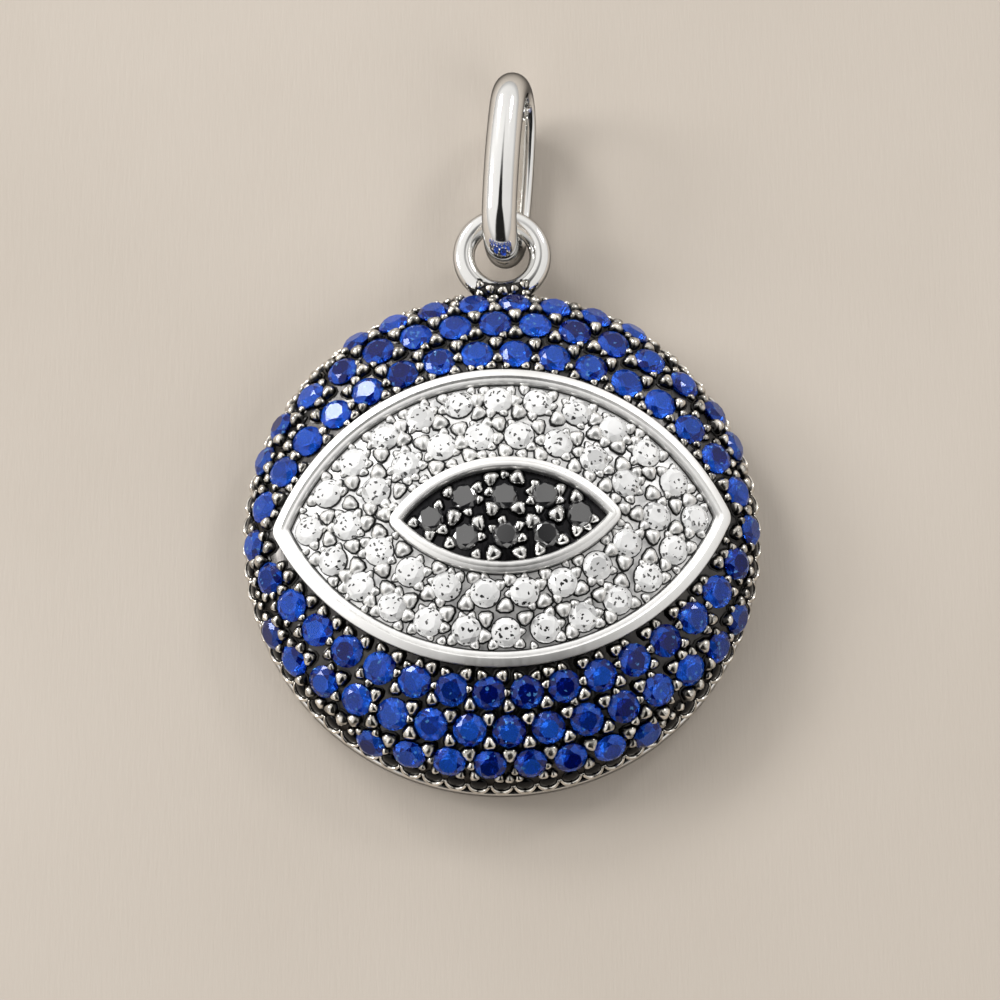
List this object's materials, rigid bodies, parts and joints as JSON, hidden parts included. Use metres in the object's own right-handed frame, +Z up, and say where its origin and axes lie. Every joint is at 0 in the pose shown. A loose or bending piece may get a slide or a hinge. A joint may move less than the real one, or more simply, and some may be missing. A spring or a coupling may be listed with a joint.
{
  "type": "evil eye pendant",
  "caption": "Domed round pendant with an almond eye in pale and dark stones on a dark blue paved ground, with a round top loop and an oval bail ring.",
  "frame": {"origin": "middle of the flat back of the disc, which is the face it rests on", "axes": "+Z up out of the dome, square to the flat back; +Y from the middle of the disc to the loop and the bail ring; +X to the right seen from above"},
  "size_m": [0.017, 0.0245, 0.0044],
  "materials": {
    "blackened_silver": "dark plated cast silver, glossy, worn bright on the beads",
    "bright_silver": "polished bright silver",
    "blue_stone": "cut and polished deep blue stone",
    "white_stone": "cut and polished clear stone",
    "black_stone": "cut and polished black stone"
  },
  "bodies": {
    "root": {"dome": "blackened_silver", "eye_plate": "bright_silver", "pupil_plate": "blackened_silver", "bail_ring": "bright_silver", "blue_stones": "blue_stone", "white_stones": "white_stone", "black_stones": "black_stone"}
  },
  "joints": []
}
